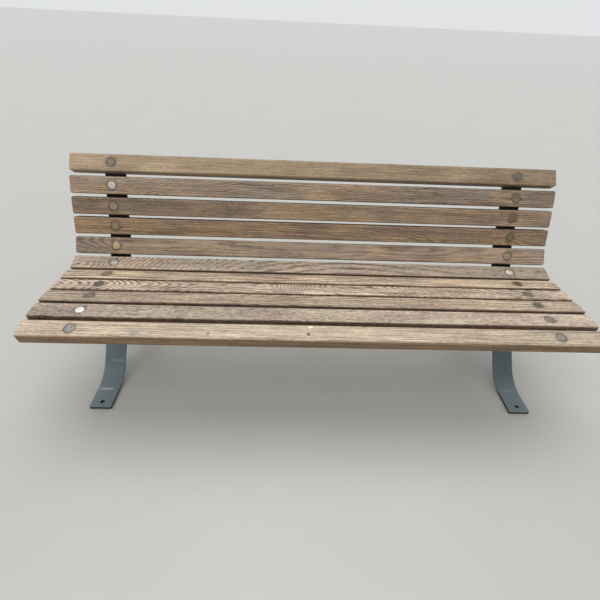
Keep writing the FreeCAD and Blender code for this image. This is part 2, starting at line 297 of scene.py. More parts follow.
def weathered_oak(name, place, look):
    """Oak for one slat, in the slat's own axes, cut from the log where its look says."""
    material = bpy.data.materials.new(name)
    material.use_nodes = True
    tree = material.node_tree
    tree.nodes.clear()
    coords = add(tree, "ShaderNodeTexCoord").outputs["Object"]
    local = add(tree, "ShaderNodeMapping", {
        "Vector": coords, "Location": place["middle"], "Rotation": (place["tilt"], 0, 0)},
        vector_type="TEXTURE")
    seed = look["seed"] * 1.37

    def streaks(length, width, detail, shift, low, high):
        """Noise drawn out along the board to this length and width, spread from 0 at low to 1 at high."""
        stretch = add(tree, "ShaderNodeVectorMath", {0: local, 1: (1 / length, 1 / width, 1 / width)},
                      operation="MULTIPLY")
        noise = add(tree, "ShaderNodeTexNoise",
                    {"Vector": stretch, "W": seed + shift, "Scale": 1.0, "Detail": detail},
                    noise_dimensions="4D")
        return add(tree, "ShaderNodeMapRange", {"Value": noise, "From Min": low, "From Max": high})

    split = add(tree, "ShaderNodeSeparateXYZ", {0: local})
    sides = [add(tree, "ShaderNodeMath", {0: split.outputs[axis]}, operation="ABSOLUTE") for axis in "XYZ"]

    share = add(tree, "ShaderNodeMapRange", {
        "Value": split.outputs["X"], "From Min": -place["length"] / 2, "From Max": place["length"] / 2})
    growth = add(tree, "ShaderNodeValToRGB", {0: share})
    growth.color_ramp.interpolation = "B_SPLINE"
    bends = growth.color_ramp.elements
    most = max(level for spot, level in look["growth"])
    for number, (spot, level) in enumerate(look["growth"]):
        bend = bends[number] if number < 2 else bends.new(spot)
        bend.position = spot
        bend.color = (level / most, level / most, level / most, 1)
    drift = add(tree, "ShaderNodeTexNoise", {
        "Vector": local, "W": seed, "Scale": look["waves"], "Detail": 1.5}, noise_dimensions="4D")
    swing = add(tree, "ShaderNodeMath", {0: drift, 1: look["swing"] * MM}, operation="MULTIPLY")
    sweep = add(tree, "ShaderNodeMath", {0: growth, 1: most * MM, 2: swing}, operation="MULTIPLY_ADD")
    flat = add(tree, "ShaderNodeCombineXYZ", {"Y": split.outputs["Y"], "Z": split.outputs["Z"]})
    piths = [(0, y * MM, z * MM) for y, z in (look["pith"], look.get("right_pith", look["pith"]))]
    pith = add(tree, "ShaderNodeMix", {0: share, 4: piths[0], 5: piths[1]}, data_type="VECTOR")
    radius = add(tree, "ShaderNodeVectorMath", {0: flat, 1: pith}, operation="DISTANCE").outputs["Value"]
    depth = add(tree, "ShaderNodeMath", {0: radius, 1: sweep}, operation="ADD")
    wander = streaks(streak_length, streak_width, 2.0, 3.0, 0.0, 1.0)
    grown = add(tree, "ShaderNodeMath", {0: wander, 1: 2.6 * MM, 2: depth}, operation="MULTIPLY_ADD")
    ripple = streaks(ripple_length, ripple_width, 2.0, 41.0, 0.0, 1.0)
    rippled = add(tree, "ShaderNodeMath", {0: ripple, 1: look["ripple"] * MM, 2: grown},
                  operation="MULTIPLY_ADD")
    count = add(tree, "ShaderNodeMath", {0: rippled, 1: ring_width * look["rings"]}, operation="DIVIDE")
    year = add(tree, "ShaderNodeMath", {0: count}, operation="FRACT")
    early = add(tree, "ShaderNodeValToRGB", {0: year})
    early.color_ramp.elements[0].color = (0.2, 0.2, 0.2, 1)
    early.color_ramp.elements[1].color = (0.15, 0.15, 0.15, 1)
    for spot, level in ((0.14, 1.0), (0.36, 0.75), (0.55, 0.0)):
        early.color_ramp.elements.new(spot).color = (level, level, level, 1)

    coarse = look["coarse"]
    dashes = streaks(dash_length, dash_width * coarse, 2.5, 17.0, 0.34, 0.66)
    lines = streaks(line_length, line_width * coarse, 2.5, 29.0, 0.34, 0.66)
    pores = streaks(pore_length, pore_width * coarse, 1.0, 11.0, 0.42, 0.62)
    patches = streaks(patch_length, patch_width, 3.0, 23.0, 0.38, 0.64)
    fade = streaks(patch_length, patch_width, 2.0, 53.0, 0.3, 0.6)
    porous = add(tree, "ShaderNodeMath", {0: early, 1: pores}, operation="MULTIPLY")

    plain = add(tree, "ShaderNodeMapRange", {
        "Value": share, "From Min": look["plain_from"], "From Max": look["plain_from"] + 0.2,
        "To Max": 0.7})
    strong = add(tree, "ShaderNodeMath", {0: 1.0, 1: plain}, operation="SUBTRACT")
    lively = add(tree, "ShaderNodeMix", {0: look["long"], 2: dashes, 3: lines})
    grain = add(tree, "ShaderNodeMix", {0: plain, 2: lively, 3: 0.5})
    ground = add(tree, "ShaderNodeMix", {0: patches, 6: linear(look["pale"]), 7: linear(look["grey"])},
                 data_type="RGBA")
    ringed = add(tree, "ShaderNodeMath", {0: early, 1: look["figure"]}, operation="MULTIPLY")
    reach = place["width"] / 2
    rise = place["thickness"] / 2
    grime_and_shade_side = add(tree, "ShaderNodeMapRange", {
        "Value": sides[1], "From Min": reach - slat_edge_radius * look["grime_and_shade_reach"], "From Max": reach})
    clearer = add(tree, "ShaderNodeMapRange",
                  {"Value": grime_and_shade_side, "From Max": 0.6, "To Min": 1.0, "To Max": 0.25})
    seen = add(tree, "ShaderNodeMath", {0: fade, 1: clearer}, operation="MULTIPLY")
    patchy = add(tree, "ShaderNodeMath", {0: ringed, 1: seen}, operation="MULTIPLY")
    faded = add(tree, "ShaderNodeMath", {0: patchy, 1: strong}, operation="MULTIPLY")
    figured = add(tree, "ShaderNodeMix", {0: faded, 6: ground, 7: linear(look["dark"])}, data_type="RGBA")
    dotted = add(tree, "ShaderNodeMath", {0: porous, 1: look["pores"]}, operation="MULTIPLY")
    bare = add(tree, "ShaderNodeMix", {0: dotted, 6: figured, 7: linear("#46331F")}, data_type="RGBA")

    from_bolt = add(tree, "ShaderNodeMath", {0: sides[0], 1: side_places["right"]}, operation="SUBTRACT")
    around = add(tree, "ShaderNodeCombineXYZ", {"X": from_bolt, "Y": split.outputs["Y"]})
    span = add(tree, "ShaderNodeVectorMath", {0: around}, operation="LENGTH").outputs["Value"]
    near = add(tree, "ShaderNodeMapRange", {
        "Value": span, "From Min": bolt_seat_radius, "From Max": stain_reach, "To Min": 0.7, "To Max": 0.0})
    uneven = add(tree, "ShaderNodeMath", {0: near, 1: dashes}, operation="MULTIPLY")
    # The narrow dark ring next to each seat is painted shade of the gap round the head; the wider darkening
    # round it is iron stain.
    rim = add(tree, "ShaderNodeMapRange", {
        "Value": span, "From Min": bolt_seat_radius, "From Max": ring_shade_reach, "To Min": 0.4, "To Max": 0.0})
    stain_and_ring_shade = add(tree, "ShaderNodeMath", {0: uneven, 1: rim}, operation="MAXIMUM")
    stained_and_shaded = add(tree, "ShaderNodeMix", {0: stain_and_ring_shade, 6: bare, 7: linear("#40362F")}, data_type="RGBA")

    for x, y, half_length, half_width, tone, strength in look["marks"]:
        off = add(tree, "ShaderNodeVectorMath", {0: local, 1: (x * MM, y * MM, rise)}, operation="SUBTRACT")
        scaled = add(tree, "ShaderNodeVectorMath", {
            0: off, 1: (1 / (half_length * MM), 1 / (half_width * MM), 1 / mark_depth)},
            operation="MULTIPLY")
        out = add(tree, "ShaderNodeVectorMath", {0: scaled}, operation="LENGTH").outputs["Value"]
        spot = add(tree, "ShaderNodeMapRange", {
            "Value": out, "From Min": 0.6, "From Max": 1.1, "To Min": strength, "To Max": 0.0})
        stained_and_shaded = add(tree, "ShaderNodeMix", {0: spot, 6: stained_and_shaded, 7: linear(tone)}, data_type="RGBA")
    # Painted highlight, partly wear: the rounded top edges are lightened a little.
    worn_and_highlight_side = add(tree, "ShaderNodeMapRange", {
        "Value": sides[1], "From Min": reach - slat_edge_radius - worn_and_highlight_rim,
        "From Max": reach - slat_edge_radius})
    worn_and_highlight_top = add(tree, "ShaderNodeMapRange", {
        "Value": split.outputs["Z"], "From Min": rise - worn_and_highlight_rim / 2, "From Max": rise - worn_and_highlight_rim / 4})
    worn_and_highlight = add(tree, "ShaderNodeMath", {0: worn_and_highlight_side, 1: worn_and_highlight_top}, operation="MULTIPLY")
    mean = 1.0 + (look["streaks"] + look["speckle"]) / 2
    lean = add(tree, "ShaderNodeMath", {0: split.outputs["X"], 1: look["lean"], 2: mean},
               operation="MULTIPLY_ADD")
    speckled = add(tree, "ShaderNodeMath", {0: pores, 1: -look["speckle"], 2: lean},
                   operation="MULTIPLY_ADD")
    contrast = add(tree, "ShaderNodeMath", {0: grain, 1: -look["streaks"], 2: speckled},
                   operation="MULTIPLY_ADD")
    level = add(tree, "ShaderNodeMath", {0: worn_and_highlight, 1: 0.05, 2: contrast}, operation="MULTIPLY_ADD")
    shaded = add(tree, "ShaderNodeVectorMath", {0: stained_and_shaded}, operation="SCALE")
    tree.links.new(level.outputs[0], shaded.inputs["Scale"])

    # Grime and painted shade: sides in the gaps, ends and undersides are darkened, the sides more towards
    # the bottom.
    rear = add(tree, "ShaderNodeMath", {0: split.outputs["Y"], 1: 0.0}, operation="GREATER_THAN")
    held = add(tree, "ShaderNodeMapRange", {"Value": rear, "To Min": look["front_grime_and_shade"], "To Max": 0.9})
    sunk = add(tree, "ShaderNodeMapRange", {
        "Value": split.outputs["Z"], "From Min": -rise, "From Max": rise, "To Min": look["low_grime_and_shade"],
        "To Max": 0.0})
    packed = add(tree, "ShaderNodeMath", {0: held, 1: sunk}, operation="MAXIMUM")
    side_grime_and_shade = add(tree, "ShaderNodeMath", {0: grime_and_shade_side, 1: packed}, operation="MULTIPLY")
    end_grime_and_shade = add(tree, "ShaderNodeMapRange", {
        "Value": sides[0], "From Min": place["length"] / 2 - end_grime_and_shade_rim, "From Max": place["length"] / 2,
        "To Max": 0.5})
    under_grime_and_shade = add(tree, "ShaderNodeMapRange", {
        "Value": split.outputs["Z"], "From Min": -rise, "From Max": -rise + slat_edge_radius,
        "To Min": 0.42, "To Max": 0.0})
    both = add(tree, "ShaderNodeMath", {0: side_grime_and_shade, 1: end_grime_and_shade}, operation="MAXIMUM")
    grime_and_shade = add(tree, "ShaderNodeMath", {0: both, 1: under_grime_and_shade}, operation="MAXIMUM")
    colour = add(tree, "ShaderNodeMix", {0: grime_and_shade, 6: shaded, 7: linear(look["grime_and_shade_tone"])},
                 data_type="RGBA",
                 blend_type="MULTIPLY")

    gloss = add(tree, "ShaderNodeMapRange", {"Value": grain, "To Min": 0.46, "To Max": 0.66})
    dull = add(tree, "ShaderNodeMath", {0: grime_and_shade, 1: 0.3, 2: gloss}, operation="MULTIPLY_ADD")
    relief = add(tree, "ShaderNodeMath", {0: porous, 1: -1.0, 2: grain}, operation="MULTIPLY_ADD")
    bump = add(tree, "ShaderNodeBump", {"Height": relief, "Strength": 0.6, "Distance": pore_depth})
    surface = add(tree, "ShaderNodeBsdfPrincipled",
                  {"Base Color": colour, "Roughness": dull, "Normal": bump, "IOR": 1.5})
    add(tree, "ShaderNodeOutputMaterial", {0: surface})
    return material


# Each board's own look. "growth" is how far its rings shift along it, in millimetres at shares of its
# length, from the left end: a steady shift gives slanting stripes or cathedrals, and a turn gives an eye.
# "pith" is where the log's middle lies in the board's section, in millimetres towards the rear and upwards.
straight = ((0, 0), (0.4, 6), (0.7, 3), (1, 9))
# The seat's boards are the coarser grained. "long" says how much of the grain is long lines and not short
# dashes.
seat_look = {"pale": "#D3BFA1", "grey": "#B5A08E", "dark": "#6E543D", "front_grime_and_shade": 0.72, "low_grime_and_shade": 0.9,
             "swing": 20,
             "waves": 1.6, "ripple": 3, "rings": 1.1, "figure": 0.5, "pores": 0.5, "speckle": 0.2,
             "streaks": 0.9,
             "coarse": 1.4, "long": 0.6, "lean": 0.0, "plain_from": 1.0, "marks": (), "grime_and_shade_reach": 0.5,
             "grime_and_shade_tone": "#6A4E2A", "growth": straight}
# The back's boards, here and in their own entries below, have darker tones than the seat's: partly painted
# shade of the back, which faces the light less than the seat does.
back_look_with_shade = dict(seat_look, pale="#B59A7B", grey="#998473", dark="#5C4635", streaks=0.9, coarse=0.85,
                 long=0.6,
                 pores=0.3, speckle=0.12, figure=0.6, rings=0.9, front_grime_and_shade=0.5, low_grime_and_shade=0.35)
# The front board's knocks and smears: middle along and across it, half length and half width in
# millimetres, tone and strength. They are a dull grey-green smear, a pale chip in the rear edge, and two
# small dark knocks.
front_marks = ((-564, -12, 17, 14, "#9C9B90", 0.75), (-33, 22, 10, 4, "#FFF6E8", 0.9),
               (-39, -5, 6, 6, "#3F3024", 0.9), (-345, -10, 6.5, 8, "#6E5C48", 0.7))
slat_looks = {
    "seat_slat_1": dict(seat_look, pale="#D7C5AA", grey="#CAB49E", dark="#886B49", seed=1, pith=(-60, -120),
                        figure=0.35, rings=0.7, streaks=0.85, front_grime_and_shade=0.8, low_grime_and_shade=1.0,
                        grime_and_shade_reach=1.5, grime_and_shade_tone="#8D7450", marks=front_marks, lean=-0.11,
                        coarse=0.9, long=0.85, pores=0.4),
    "seat_slat_2": dict(seat_look, pale="#CAB9A2", grey="#B29D8E", seed=2, pith=(90, -70), ripple=5,
                        figure=0.35, streaks=0.55,
                        speckle=0.4, lean=0.25, coarse=1.1, long=0.35),
    "seat_slat_3": dict(seat_look, pale="#C9B59A", grey="#B09B89", seed=3, pith=(35, -45), swing=40,
                        rings=1.3, streaks=1.05, lean=0.07,
                        growth=((0, 0), (0.35, 4), (0.48, 30), (0.6, 40), (1, 44))),
    "seat_slat_4": dict(seat_look, pale="#E0CCB1", grey="#C4AE9C", dark="#553B25", seed=4, pith=(-3, 4),
                        right_pith=(42, 0), rings=2.7, ripple=12, figure=1.0, swing=12, streaks=1.1,
                        lean=-0.1,
                        growth=((0, 300), (0.11, 400), (0.16, 432), (0.25, 496), (0.29, 500), (0.33, 488),
                                (0.4, 476), (0.43, 460), (0.48, 344), (0.53, 296), (0.62, 276), (0.68, 236),
                                (0.78, 120), (0.86, 60), (0.9, 64), (1, 0))),
    "seat_slat_5": dict(seat_look, pale="#DCC8AB", grey="#CAB5A0", dark="#765130", seed=5, pith=(-60, -60),
                        rings=1.6,
                        figure=1.0, swing=30, streaks=1.4, lean=0.08, long=0.8,
                        growth=((0, 0), (0.5, 8), (0.9, 14), (1, 44))),
    "seat_slat_6": dict(seat_look, pale="#C4AD94", grey="#A5988A", dark="#5D4536", seed=6, pith=(-80, -300),
                        rings=1.5,
                        ripple=7, figure=0.8, swing=8, lean=-0.12, plain_from=0.62,
                        growth=((0, 200), (0.08, 165), (0.23, 66), (0.32, 28), (0.42, 12), (0.55, 2),
                                (0.7, 8),
                                (0.8, 14), (1, 16))),
    "back_slat_1": dict(back_look_with_shade, pale="#C0A687", grey="#A28D7E", seed=7, pith=(20, -60), swing=30,
                        lean=0.12, streaks=0.75,
                        growth=((0, 20), (0.1, 5), (0.4, 0), (1, 12))),
    "back_slat_2": dict(back_look_with_shade, pale="#B0926D", grey="#947E69", seed=8, pith=(-40, -80), lean=-0.06,
                        streaks=1.1,
                        growth=((0, 0), (0.6, 4), (0.8, 24), (0.9, 60), (1, 66))),
    "back_slat_3": dict(back_look_with_shade, pale="#B49978", grey="#988473", seed=9, pith=(-130, -120), figure=0.85,
                        swing=14,
                        rings=1.1, lean=0.14, growth=((0, 0), (0.1, 20), (0.3, 110), (0.4, 130), (1, 140))),
    "back_slat_4": dict(back_look_with_shade, pale="#BB9E7F", grey="#9E9184", seed=10, pith=(60, -60), ripple=8,
                        swing=40,
                        lean=-0.3, figure=0.9, streaks=1.1,
                        growth=((0, 0), (0.2, 10), (0.27, 50), (0.35, 54), (0.7, 62), (0.85, 70),
                                (0.93, 110),
                                (1, 116))),
    "back_slat_5": dict(back_look_with_shade, pale="#B9A282", grey="#A79075", dark="#6D563C", seed=11, pith=(-80, -90),
                        figure=0.5, streaks=0.75, lean=-0.24, front_grime_and_shade=0.0, low_grime_and_shade=0.2),
}

slat_tree = slat_shape_tree()
slats = {}
for node, look in slat_looks.items():
    place = slats[node] = slat_place(node)
    oak = weathered_oak(node + "_weathered_oak", place, look)
    slat = shaped(node + "_board", slat_tree, {
        "Length": place["length"], "Width": place["width"], "Thickness": place["thickness"],
        "Edge Radius": slat_edge_radius, "End Radius": slat_end_radius, "Bow": look.get("bow", 0.0) * MM,
        "Bolt Reach": side_places["right"], "Seat Radius": bolt_seat_radius, "Seat Depth": bolt_seat_depth,
        "Rings": slat_rings, "Place": place["middle"], "Turn": (place["tilt"], 0.0, 0.0), "Material": oak})
    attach(slat, "root")
    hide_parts(node)

# Seat and back bars
# Two flat steel bars, 76 by 9.5 mm, bent cold between the slats to the seat's and the back's curve.
# They are brush-painted a dark blue-grey, which hides under the slats but for short stretches in the gaps.

bar_end_setback = 14 * MM
bar_bend_share = 0.9
bar_edge_radius = 1.2 * MM
bar_corner_radius = 4 * MM
steps_per_radian = 14


def along(angle):
    """Unit vector of the side view that climbs to the rear at this angle."""
    return Vector((0, math.cos(angle), math.sin(angle)))


def above(angle):
    """Unit vector of the side view square to a surface of this angle, out of its upper side."""
    return Vector((0, -math.sin(angle), math.cos(angle)))


def crossing(point_a, angle_a, point_b, angle_b):
    """Where two lines of the side view cross."""
    reach = (point_b - point_a).dot(above(angle_b)) / along(angle_a).dot(above(angle_b))
    return point_a + along(angle_a) * reach


def bent_line(points, angles, radii, depth):
    """Points along a bent bar's straights and bends, this deep below its upper surface."""
    line = [points[0] - above(angles[0]) * depth]
    for corner, before, after, radius in zip(points[1:-1], angles, angles[1:], radii):
        side = 1 if after > before else -1
        start = corner - along(before) * (radius * math.tan(abs(after - before) / 2))
        centre = start + above(before) * (radius * side)
        steps = max(2, math.ceil(abs(after - before) * steps_per_radian))
        for step in range(steps + 1):
            angle = before + (after - before) * step / steps
            line.append(centre - above(angle) * (radius * side + depth))
    line.append(points[-1] - above(angles[-1]) * depth)
    return line


def with_end_points(line, distances):
    """The same line with extra points at these distances from both ends, for a rounded end."""
    first = [line[0] + (line[1] - line[0]).normalized() * distance for distance in distances]
    last = [line[-1] + (line[-2] - line[-1]).normalized() * distance for distance in reversed(distances)]
    return line[:1] + first + line[1:-1] + last + line[-1:]


def line_mesh(name, line):
    """Mesh of a bare polyline."""
    mesh = bpy.data.meshes.new(name)
    mesh.from_pydata(line, [(i, i + 1) for i in range(len(line) - 1)], [])
    return mesh


def bar_shape_tree():
    """A flat bar swept along its bent line, with broken edges, rounded corners and a hole near each end."""
    tree, given = shape_tree("bent bar shape", {
        "Width": "Float", "Thickness": "Float", "Edge Radius": "Float", "Corner Radius": "Float",
        "Hole Radius": "Float", "Hole Inset": "Float", "Place": "Vector", "Material": "Material"})
    line = add(tree, "GeometryNodeMeshToCurve", {0: given["Start"]}).outputs[0]
    spent = add(tree, "GeometryNodeSplineParameter").outputs["Length"]
    whole = add(tree, "GeometryNodeSplineLength").outputs["Length"]
    left = add(tree, "ShaderNodeMath", {0: whole, 1: spent}, operation="SUBTRACT")
    to_end = add(tree, "ShaderNodeMath", {0: spent, 1: left.outputs[0]}, operation="MINIMUM")
    kept = add(tree, "GeometryNodeStoreNamedAttribute",
               {"Geometry": line, "Name": "to_end", "Value": to_end.outputs[0]})
    outline = add(tree, "GeometryNodeCurvePrimitiveQuadrilateral",
                  {"Width": given["Width"], "Height": given["Thickness"]})
    rounded = add(tree, "GeometryNodeFilletCurve", {
        "Curve": outline.outputs[0], "Count": 4, "Radius": given["Edge Radius"]}, mode="POLY")
    bar = add(tree, "GeometryNodeCurveToMesh",
              {"Curve": kept.outputs[0], "Profile Curve": rounded.outputs[0]})
    bar.inputs["Fill Caps"].default_value = True
    near = add(tree, "GeometryNodeInputNamedAttribute", {"Name": "to_end"})
    ease = add(tree, "GeometryNodeGroup", node_tree=rounded_end)
    tree.links.new(near.outputs["Attribute"], ease.inputs["Distance"])
    tree.links.new(given["Corner Radius"], ease.inputs["Radius"])
    parts = add(tree, "ShaderNodeSeparateXYZ", {0: add(tree, "GeometryNodeInputPosition").outputs[0]})
    side = add(tree, "ShaderNodeMath", {0: parts.outputs["X"]}, operation="SIGN")
    inset = add(tree, "ShaderNodeMath", {0: ease.outputs[0], 1: side.outputs[0]}, operation="MULTIPLY")
    back = add(tree, "ShaderNodeMath", {0: inset.outputs[0], 1: -1.0}, operation="MULTIPLY")
    shift = add(tree, "ShaderNodeCombineXYZ", {"X": back.outputs[0]})
    eased = add(tree, "GeometryNodeSetPosition", {"Geometry": bar.outputs[0], "Offset": shift.outputs[0]})
    clean = add(tree, "GeometryNodeRemoveAttribute", {"Geometry": eased.outputs[0], "Name": "to_end"})

    depth = add(tree, "ShaderNodeMath", {0: given["Thickness"], 1: 3.0}, operation="MULTIPLY")
    drill = add(tree, "GeometryNodeMeshCylinder",
                {"Vertices": 32, "Radius": given["Hole Radius"], "Depth": depth.outputs[0]})
    size = add(tree, "GeometryNodeCurveLength", {0: line}).outputs[0]
    far = add(tree, "ShaderNodeMath", {0: size, 1: given["Hole Inset"]}, operation="SUBTRACT")
    holes = add(tree, "GeometryNodeJoinGeometry")
    for reach in (given["Hole Inset"], far.outputs[0]):
        spot = add(tree, "GeometryNodeSampleCurve", {"Curves": line, "Length": reach}, mode="LENGTH")
        hole = add(tree, "GeometryNodeTransform",
                   {"Geometry": drill.outputs[0], "Translation": spot.outputs["Position"]})
        tree.links.new(hole.outputs[0], holes.inputs[0])
    cut = add(tree, "GeometryNodeMeshBoolean", {"Mesh 1": clean.outputs[0], "Mesh 2": holes.outputs[0]})
    cut.operation = "DIFFERENCE"
    drilled = add(tree, "FunctionNodeCompare", {0: given["Hole Radius"], 1: 0.0})
    chosen = add(tree, "GeometryNodeSwitch",
                 {0: drilled.outputs[0], 1: clean.outputs[0], 2: cut.outputs[0]})
    put = add(tree, "GeometryNodeTransform", {"Geometry": chosen.outputs[0], "Translation": given["Place"]})
    close_tree(tree, put.outputs[0], given["Material"])
    return tree


# Brushed enamel on steel, semi-gloss and dark blue-grey. It has faint brush ripples, thin dusty patches and
# a few chips down to dull primer. Near-black brown lies on the faces between the slats, on the feet's edges
# and in the anchor holes, as dirt, mop dirt at the feet, and painted shade together. Pale bands at the
# marks that the bending press left are painted highlights.
brush_ripple = 2.5 * MM
dust_patch = 70 * MM
chip_size = 9 * MM
foot_dirt_and_shade_height = 9.45 * MM
foot_dirt_and_shade_fade = 0.3 * MM
foot_dust_height = 40 * MM
press_glint_length = 31 * MM


def brushed_enamel(name, paint, dirty_and_shaded_top, press_glints, dirty_and_shaded_holes):
    """Enamel with dirt and painted shade on faces facing one way, at its feet and in holes centred at these
    places, and painted highlights at press marks centred there.
    """
    material = bpy.data.materials.new(name)
    material.use_nodes = True
    tree = material.node_tree
    tree.nodes.clear()
    coords = add(tree, "ShaderNodeTexCoord").outputs["Object"]
    split = add(tree, "ShaderNodeSeparateXYZ", {0: coords})
    normal = add(tree, "ShaderNodeNewGeometry").outputs["Normal"]
    facing = add(tree, "ShaderNodeSeparateXYZ", {0: normal})
    ripples = add(tree, "ShaderNodeTexNoise", {"Vector": coords, "Scale": 1 / brush_ripple, "Detail": 3.0})
    dust = add(tree, "ShaderNodeTexNoise", {"Vector": coords, "Scale": 1 / dust_patch, "Detail": 5.0})
    blown = add(tree, "ShaderNodeMapRange",
                {"Value": dust, "From Min": 0.42, "From Max": 0.72, "To Max": 0.5})
    settled = add(tree, "ShaderNodeMapRange", {
        "Value": split.outputs["Z"], "From Min": foot_dirt_and_shade_height, "From Max": foot_dust_height,
        "To Min": 0.6, "To Max": 0.0})
    dusty = add(tree, "ShaderNodeMath", {0: blown, 1: settled}, operation="MAXIMUM")
    chips = add(tree, "ShaderNodeTexNoise",
                {"Vector": coords, "Scale": 1 / chip_size, "Detail": 4.0, "Roughness": 0.7})
    chipped = add(tree, "ShaderNodeMapRange", {"Value": chips, "From Min": 0.70, "From Max": 0.73})
    painted = add(tree, "ShaderNodeMix", {0: dusty, 6: linear(paint), 7: linear("#859194")},
                  data_type="RGBA")
    chipped_paint = add(tree, "ShaderNodeMix", {0: chipped, 6: painted, 7: linear("#2A2826")},
                        data_type="RGBA")

    # Painted highlights: pale bands across the upper faces at the press marks, for the glint of the bends.
    marks = 0.0
    for x, y, half_width, strength in press_glints:
        gap = add(tree, "ShaderNodeVectorMath", {0: coords, 1: (x, y, 0)}, operation="SUBTRACT")
        size = add(tree, "ShaderNodeVectorMath", {0: gap}, operation="ABSOLUTE")
        spans = add(tree, "ShaderNodeSeparateXYZ", {0: size})
        line = add(tree, "ShaderNodeMapRange", {
            "Value": spans.outputs["Y"], "From Max": half_width, "To Min": strength, "To Max": 0.0},
            interpolation_type="SMOOTHSTEP")
        ends = add(tree, "ShaderNodeMapRange", {
            "Value": spans.outputs["X"], "From Min": press_glint_length * 0.6, "From Max": press_glint_length,
            "To Min": 1.0, "To Max": 0.0}, interpolation_type="SMOOTHSTEP")
        mark = add(tree, "ShaderNodeMath", {0: line, 1: ends}, operation="MULTIPLY")
        marks = add(tree, "ShaderNodeMath", {0: mark, 1: marks}, operation="MAXIMUM")
    glint_breakup = add(tree, "ShaderNodeMapRange", {
        "Value": dust, "From Min": 0.38, "From Max": 0.56, "To Min": 0.6, "To Max": 1.0})
    upper = add(tree, "ShaderNodeMath", {0: facing.outputs["Z"], 1: 0.2}, operation="GREATER_THAN")
    shown = add(tree, "ShaderNodeMath", {0: marks, 1: glint_breakup}, operation="MULTIPLY")
    painted_glint = add(tree, "ShaderNodeMath", {0: shown, 1: upper}, operation="MULTIPLY")
    glinted_paint = add(tree, "ShaderNodeMix", {0: painted_glint, 6: chipped_paint, 7: linear("#C3CBCE")},
                 data_type="RGBA")

    # Near black on the feet's lowest edges, on the bars' upper faces between the slats and inside the
    # anchor holes: dirt and painted shade together.
    dirt_and_shade = add(tree, "ShaderNodeMapRange", {
        "Value": split.outputs["Z"], "From Min": foot_dirt_and_shade_height - foot_dirt_and_shade_fade,
        "From Max": foot_dirt_and_shade_height,
        "To Min": 0.92, "To Max": 0.0})
    front = add(tree, "ShaderNodeVectorMath", {0: normal, 1: dirty_and_shaded_top},
                operation="DOT_PRODUCT").outputs["Value"]
    lying = add(tree, "ShaderNodeMapRange",
                {"Value": front, "From Min": 0.3, "From Max": 0.6, "To Max": 0.93})
    dirt_and_shade = add(tree, "ShaderNodeMath", {0: dirt_and_shade, 1: lying}, operation="MAXIMUM")
    for x, y in dirty_and_shaded_holes:
        middle = add(tree, "ShaderNodeCombineXYZ", {"X": split.outputs["X"], "Y": split.outputs["Y"]})
        span = add(tree, "ShaderNodeVectorMath", {0: middle, 1: (x, y, 0)},
                   operation="DISTANCE").outputs["Value"]
        inside = add(tree, "ShaderNodeMath", {0: span, 1: anchor_hole_radius + 0.6 * MM},
                     operation="LESS_THAN")
        dirt_and_shade = add(tree, "ShaderNodeMath", {0: dirt_and_shade, 1: inside}, operation="MAXIMUM")
    colour = add(tree, "ShaderNodeMix", {0: dirt_and_shade, 6: glinted_paint, 7: linear("#17130F")}, data_type="RGBA")
    gloss = add(tree, "ShaderNodeMapRange", {"Value": dust, "To Min": 0.3, "To Max": 0.62})
    dull = add(tree, "ShaderNodeMath", {0: dirt_and_shade, 1: 0.3, 2: gloss}, operation="MULTIPLY_ADD")
    height = add(tree, "ShaderNodeMath", {0: chipped, 1: -2.0, 2: ripples}, operation="MULTIPLY_ADD")
    bump = add(tree, "ShaderNodeBump", {"Height": height, "Strength": 0.35, "Distance": 0.15 * MM})
    surface = add(tree, "ShaderNodeBsdfPrincipled",
                  {"Base Color": colour, "Roughness": dull, "Normal": bump, "IOR": 1.5})
    add(tree, "ShaderNodeOutputMaterial", {0: surface})
    return material


anchor_hole_radius = 7 * MM
bar_enamel = brushed_enamel("dirty_shaded_blue_grey_enamel", "#5B6C73", (0, -0.6, 0.8), (), ())
bar_tree = bar_shape_tree()
foot_low, foot_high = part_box("leg_arch_left")
bar_width = foot_high.x - foot_low.x
bar_thickness = 9.5 * MM
end_steps = [bar_corner_radius * share for share in (0.03, 0.12, 0.28, 0.5, 0.75, 1.0)]

slat_order = ["seat_slat_" + str(n) for n in range(1, 7)] + ["back_slat_" + str(n) for n in range(1, 6)]
tilts = [slats[node]["tilt"] for node in slat_order]
rests = [slats[node]["middle"] - slats[node]["normal"] * (slats[node]["thickness"] / 2)
         for node in slat_order]
slat_width = slats["seat_slat_1"]["width"]
slat_seat = slat_width / 2 - slat_edge_radius


def seat_back_line():
    """The seat and back bar's bent line, at mid thickness."""
    reach = slat_width / 2 - bar_end_setback
    points = [rests[0] - along(tilts[0]) * reach]
    angles = [tilts[0]]
    radii = []
    for rest, next_rest, tilt, next_tilt in zip(rests, rests[1:], tilts, tilts[1:]):
        if abs(next_tilt - tilt) > math.radians(0.5):
            corner = crossing(rest, tilt, next_rest, next_tilt)
            bend_reach = bar_bend_share * ((corner - rest).length - slat_seat)
            points.append(corner)
            angles.append(next_tilt)
            radii.append(bend_reach / math.tan(abs(next_tilt - tilt) / 2))
    points.append(rests[-1] + along(tilts[-1]) * reach)
    return bent_line(points, angles, radii, bar_thickness / 2)


for side, x in side_places.items():
    line = with_end_points(seat_back_line(), end_steps)
    bar = shaped("seat_back_bar_" + side + "_painted", bar_tree, {
        "Width": bar_width, "Thickness": bar_thickness, "Edge Radius": bar_edge_radius,
        "Corner Radius": bar_corner_radius, "Hole Radius": 0.0, "Hole Inset": 0.0,
        "Place": (x, 0.0, 0.0), "Material": bar_enamel}, line_mesh("seat_back_line_" + side, line))
    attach(bar, "root")
    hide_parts("seat_back_bar_" + side)

